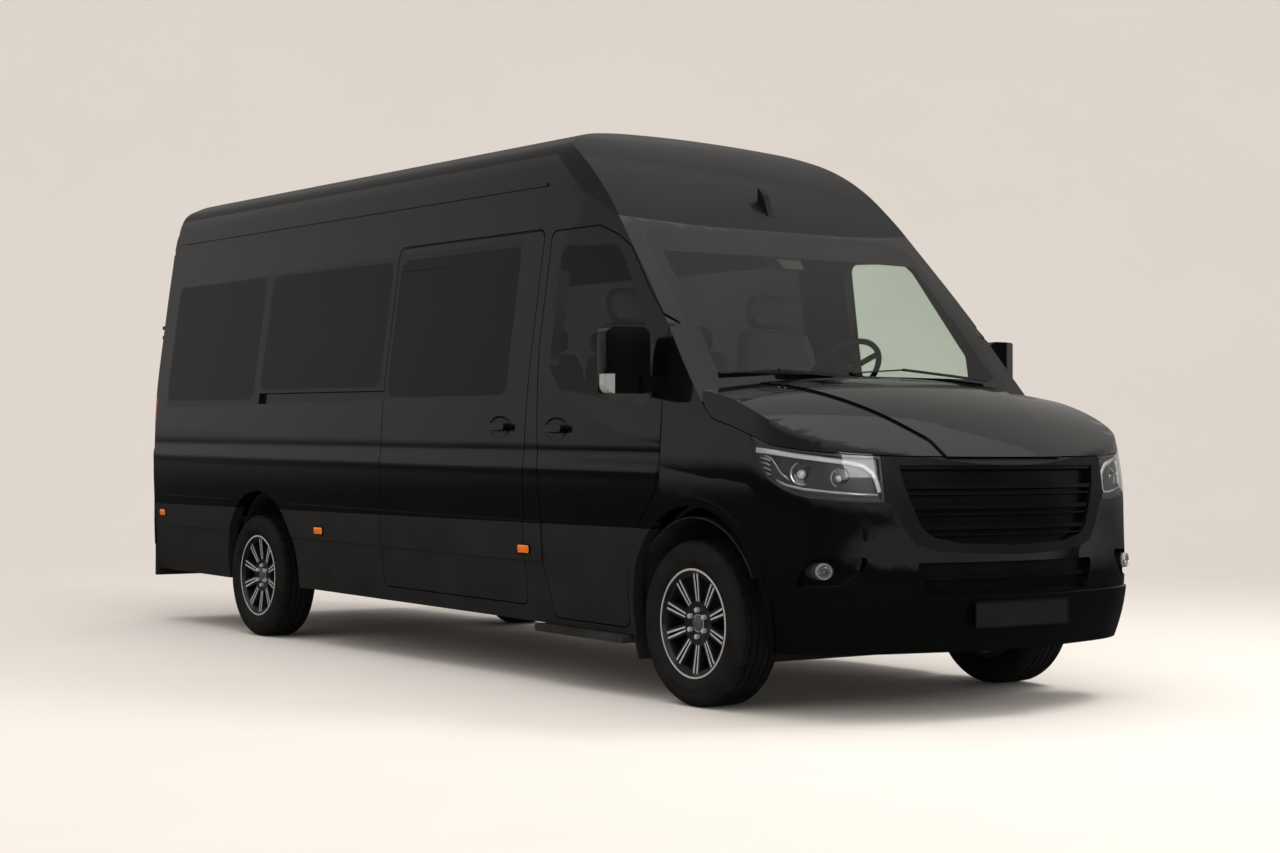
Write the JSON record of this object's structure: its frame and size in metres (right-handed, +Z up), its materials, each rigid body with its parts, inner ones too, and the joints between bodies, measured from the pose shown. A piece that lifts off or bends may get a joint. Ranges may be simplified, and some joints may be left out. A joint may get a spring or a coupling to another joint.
{
  "type": "minibus",
  "caption": "Long high-roof minibus with a bonnet, hinged front and rear doors, a sliding side door, steered front wheels and rows of seats.",
  "frame": {"origin": "on the ground below the middle of the vehicle's overall length and width", "axes": "+X forward along the vehicle, +Y to its left, +Z up"},
  "size_m": [6.967, 2.45, 2.7668],
  "materials": {
    "body_paint": "gloss black paint",
    "cladding": "satin dark plastic",
    "glass_clear": "clear greenish glass",
    "glass_dark": "dark privacy glass",
    "tyre_rubber": "matt rubber",
    "alloy": "machined and dark painted alloy",
    "disc_iron": "turned iron",
    "chassis_black": "matt black underbody paint",
    "bare_iron": "cast iron",
    "lamp_clear": "clear lamp cover over bright inside",
    "lamp_red": "red lamp cover",
    "trim_plastic": "grained dark plastic",
    "seat_fabric": "dark woven seat fabric",
    "spring_steel": "dark spring steel"
  },
  "bodies": {
    "root": {"roof_panel": "body_paint", "roof_cap": "body_paint", "cab_frame": "body_paint", "side_right": "body_paint", "side_left": "body_paint", "sliding_door": "body_paint", "wing_right": "body_paint", "wing_left": "body_paint", "front_bumper": "body_paint", "rear_frame": "body_paint", "grille_surround": "trim_plastic", "dashboard": "trim_plastic", "rear_bumper": "trim_plastic", "rear_hinges": "trim_plastic", "windscreen": "glass_clear", "side_glass": "glass_dark", "sliding_door_glass": "glass_dark", "headlamps": "lamp_clear", "tail_lamps": "lamp_red", "front_seats": "seat_fabric", "seats_right": "seat_fabric", "seats_left": "seat_fabric", "floor_pan": "chassis_black", "wheel_boxes": "chassis_black", "firewall": "chassis_black", "chassis_rails": "chassis_black", "front_subframe": "chassis_black", "rear_axle": "chassis_black", "leaf_springs": "spring_steel", "engine_block": "bare_iron", "grille": "trim_plastic", "wipers": "trim_plastic", "lamp_units": "lamp_clear", "underbody": "chassis_black"},
    "bonnet": {"bonnet": "body_paint"},
    "front_door_right": {"front_door_right": "body_paint", "front_door_glass_right": "glass_clear", "mirror_right": "body_paint"},
    "front_door_left": {"front_door_left": "body_paint", "front_door_glass_left": "glass_clear", "mirror_left": "body_paint"},
    "rear_door_right": {"rear_door_right": "body_paint", "rear_door_glass_right": "glass_dark"},
    "rear_door_left": {"rear_door_left": "body_paint", "rear_door_glass_left": "glass_dark"},
    "knuckle_right": {"knuckle_right": "chassis_black"},
    "knuckle_left": {"knuckle_left": "chassis_black"},
    "steering_wheel": {"steering_wheel": "trim_plastic"},
    "wheel_front_right": {"tyre_front_right": "tyre_rubber", "rim_front_right": "alloy", "brake_disc_front_right": "disc_iron"},
    "wheel_front_left": {"tyre_front_left": "tyre_rubber", "rim_front_left": "alloy", "brake_disc_front_left": "disc_iron"},
    "wheel_rear_right": {"tyre_rear_right": "tyre_rubber", "rim_rear_right": "alloy", "brake_disc_rear_right": "disc_iron"},
    "wheel_rear_left": {"tyre_rear_left": "tyre_rubber", "rim_rear_left": "alloy", "brake_disc_rear_left": "disc_iron"}
  },
  "joints": [
    {"name": "bonnet_lift", "type": "hinge", "parent": "root", "child": "bonnet", "pos_m": [2.5765, 0, 1.43], "axis": [0, -1, 0], "range_deg": [0, 50]},
    {"name": "front_door_right_swing", "type": "hinge", "parent": "root", "child": "front_door_right", "pos_m": [2.2895, -1.022, 1], "axis": [0, 0, 1], "range_deg": [0, 70]},
    {"name": "front_door_left_swing", "type": "hinge", "parent": "root", "child": "front_door_left", "pos_m": [2.2895, 1.022, 1], "axis": [0, 0, -1], "range_deg": [0, 70]},
    {"name": "rear_door_right_swing", "type": "hinge", "parent": "root", "child": "rear_door_right", "pos_m": [-3.3925, -0.854, 1], "axis": [0, 0, 1], "range_deg": [0, 180]},
    {"name": "rear_door_left_swing", "type": "hinge", "parent": "root", "child": "rear_door_left", "pos_m": [-3.3925, 0.854, 1], "axis": [0, 0, -1], "range_deg": [0, 180]},
    {"name": "steer_right", "type": "hinge", "parent": "root", "child": "knuckle_right", "pos_m": [2.4795, -0.76, 0.357], "axis": [0, 0, 1], "range_deg": [-35, 35]},
    {"name": "steer_left", "type": "hinge", "parent": "root", "child": "knuckle_left", "pos_m": [2.4795, 0.76, 0.357], "axis": [0, 0, 1], "range_deg": [-35, 35]},
    {"name": "steering_wheel_turn", "type": "hinge", "parent": "root", "child": "steering_wheel", "pos_m": [1.8395, 0.43, 1.48], "axis": [-0.766, 0, 0.6428], "range_deg": [-420, 420]},
    {"name": "spin_front_right", "type": "hinge", "parent": "knuckle_right", "child": "wheel_front_right", "pos_m": [2.4795, -0.865, 0.357], "axis": [0, 1, 0], "continuous": true},
    {"name": "spin_front_left", "type": "hinge", "parent": "knuckle_left", "child": "wheel_front_left", "pos_m": [2.4795, 0.865, 0.357], "axis": [0, 1, 0], "continuous": true},
    {"name": "spin_rear_right", "type": "hinge", "parent": "root", "child": "wheel_rear_right", "pos_m": [-1.8455, -0.865, 0.357], "axis": [0, 1, 0], "continuous": true},
    {"name": "spin_rear_left", "type": "hinge", "parent": "root", "child": "wheel_rear_left", "pos_m": [-1.8455, 0.865, 0.357], "axis": [0, 1, 0], "continuous": true}
  ],
  "couplings": [
    {"joint": "steer_left", "follows": "steer_right", "ratio": 1},
    {"joint": "steering_wheel_turn", "follows": "steer_right", "ratio": 12}
  ]
}
